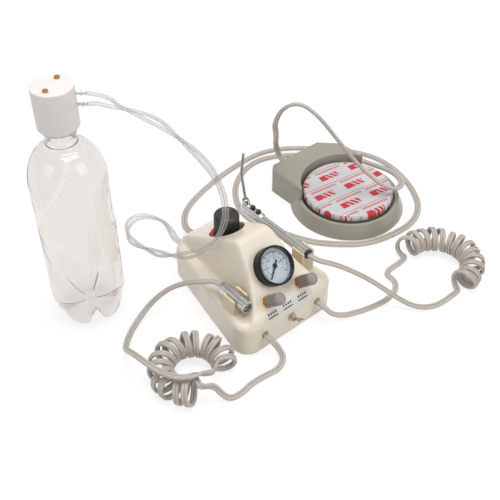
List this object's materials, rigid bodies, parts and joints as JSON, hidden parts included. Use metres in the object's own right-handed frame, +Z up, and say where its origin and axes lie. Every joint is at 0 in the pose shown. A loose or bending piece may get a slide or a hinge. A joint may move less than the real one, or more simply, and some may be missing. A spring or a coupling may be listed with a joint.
{
  "type": "portable dental turbine unit",
  "caption": "Portable dental turbine unit: control box with gauge, regulator and valves, water bottle, foot pedal, three-way syringe and handpiece coupling on curly hoses.",
  "frame": {"origin": "centre of the control box's rest face on the table", "axes": "+X left to right along the box's front, -Y the front, +Z up"},
  "size_m": [0.4559, 0.3423, 0.2656],
  "materials": {
    "case_abs": "satin moulded ABS",
    "pad_eva": "foam pad",
    "plate_steel": "painted sheet steel",
    "steel": "zinc plated",
    "clip_abs": "yellowish ABS",
    "black_plastic": "black enamel",
    "dial_white": "pale printed dial",
    "needle_black": "black enamel",
    "clear_lens": "clear acrylic",
    "brass": "machined brass",
    "valve_knob": "ribbed grey plastic",
    "nickel": "satin nickel",
    "label_film": "printed film",
    "regulator_metal": "die cast",
    "red_plastic": "red plastic",
    "knob_black": "ribbed black plastic",
    "gland_grey": "grey PVC",
    "pet_clear": "clear PET",
    "cap_frost": "frosted polypropylene",
    "chrome": "polished chrome",
    "tube_clear": "clear PU tube",
    "pedal_abs": "warm grey ABS",
    "pedal_rubber": "black rubber",
    "pedal_film": "protective film",
    "tread_plastic": "grey plastic",
    "hose_pvc": "warm grey PVC",
    "gasket_black": "black silicone"
  },
  "bodies": {
    "unit": {"rest_pad": "pad_eva", "base_plate": "plate_steel", "base_screws": "steel", "case_shell": "case_abs", "left_holder": "clip_abs", "right_holder": "clip_abs", "gauge_case": "black_plastic", "gauge_dial": "dial_white", "gauge_lens": "clear_lens", "gauge_movement": "brass", "air_valve_body": "brass", "water_valve_body": "brass", "air_valve_nut": "brass", "water_valve_nut": "brass", "toggle_body": "nickel", "toggle_nut": "nickel", "label_strip": "label_film", "regulator_body": "regulator_metal", "regulator_ring": "red_plastic", "manifold_block": "regulator_metal", "air_inlet": "nickel", "back_glands": "gland_grey", "front_gland_left": "gland_grey", "front_gland_right": "gland_grey", "bottle_cap": "cap_frost", "cap_ring": "steel", "cap_screws": "brass", "cap_barbs": "chrome", "dip_tube": "tube_clear", "bottle_tubes": "tube_clear", "pedal_housing": "pedal_abs", "pedal_base": "pedal_rubber", "pedal_spring": "steel", "pedal_valve": "brass", "pedal_gland": "gland_grey", "pedal_hose": "hose_pvc", "syringe_hose_front": "hose_pvc", "syringe_coil": "hose_pvc", "syringe_hose_tail": "hose_pvc", "handpiece_hose_front": "hose_pvc", "handpiece_coil": "hose_pvc", "handpiece_hose_tail": "hose_pvc"},
    "needle": {"gauge_needle": "needle_black"},
    "air_knob": {"air_knob": "valve_knob"},
    "water_knob": {"water_knob": "valve_knob"},
    "toggle": {"toggle_lever": "nickel"},
    "regulator_knob": {"regulator_stem": "steel", "regulator_knob": "knob_black"},
    "bottle": {"bottle": "pet_clear"},
    "tread": {"pedal_disc": "tread_plastic", "pedal_film": "pedal_film"},
    "syringe": {"syringe_body": "chrome", "syringe_tail_ring": "gasket_black", "nozzle_nut": "chrome"},
    "nozzle": {"syringe_nozzle": "steel"},
    "air_button": {"air_button": "gasket_black"},
    "water_button": {"water_button": "gasket_black"},
    "coupling": {"coupling_body": "chrome", "coupling_gasket": "gasket_black"},
    "coupling_nut": {"coupling_nut": "chrome"}
  },
  "joints": [
    {"name": "needle_turn", "type": "hinge", "parent": "unit", "child": "needle", "pos_m": [0, -0.043, 0.0665], "axis": [0, 0.7071, -0.7071], "range_deg": [0, 270]},
    {"name": "air_knob_turn", "type": "hinge", "parent": "unit", "child": "air_knob", "pos_m": [-0.021, -0.0625, 0.047], "axis": [0, -0.7071, 0.7071], "range_deg": [0, 1080]},
    {"name": "water_knob_turn", "type": "hinge", "parent": "unit", "child": "water_knob", "pos_m": [0.021, -0.0625, 0.047], "axis": [0, -0.7071, 0.7071], "range_deg": [0, 1080]},
    {"name": "toggle_throw", "type": "hinge", "parent": "unit", "child": "toggle", "pos_m": [0, -0.078, 0.0215], "axis": [1, 0, 0], "range_deg": [0, 56]},
    {"name": "regulator_turn", "type": "hinge", "parent": "unit", "child": "regulator_knob", "pos_m": [0, 0.026, 0.06], "axis": [0, 0, 1], "range_deg": [-900, 900]},
    {"name": "bottle_turn", "type": "hinge", "parent": "unit", "child": "bottle", "pos_m": [-0.134, 0.088, 0.22], "axis": [0, 0, 1], "range_deg": [0, 720]},
    {"name": "pedal_press", "type": "slide", "parent": "unit", "child": "tread", "axis": [0, 0, 1], "range_m": [-0.004, 0], "stiffness_N_per_m": 2000, "springref_m": 0.004, "deforming": ["pedal_spring"]},
    {"name": "syringe_lift", "type": "slide", "parent": "unit", "child": "syringe", "axis": [0, 0, 1], "range_m": [0, 0.03]},
    {"name": "nozzle_swivel", "type": "hinge", "parent": "syringe", "child": "nozzle", "pos_m": [0.044, 0.046, 0.062], "axis": [0, 0.2079, 0.9781], "continuous": true},
    {"name": "air_button_press", "type": "slide", "parent": "syringe", "child": "air_button", "axis": [0, 0, 1], "range_m": [-0.002, 0], "stiffness_N_per_m": 300, "springref_m": 0.002},
    {"name": "water_button_press", "type": "slide", "parent": "syringe", "child": "water_button", "axis": [0, 0, 1], "range_m": [-0.002, 0], "stiffness_N_per_m": 300, "springref_m": 0.002},
    {"name": "coupling_lift", "type": "slide", "parent": "unit", "child": "coupling", "axis": [0, 0, 1], "range_m": [0, 0.025]},
    {"name": "coupling_nut_turn", "type": "hinge", "parent": "coupling", "child": "coupling_nut", "pos_m": [-0.044, -0.05, 0.051], "axis": [0, -1, 0], "continuous": true}
  ]
}
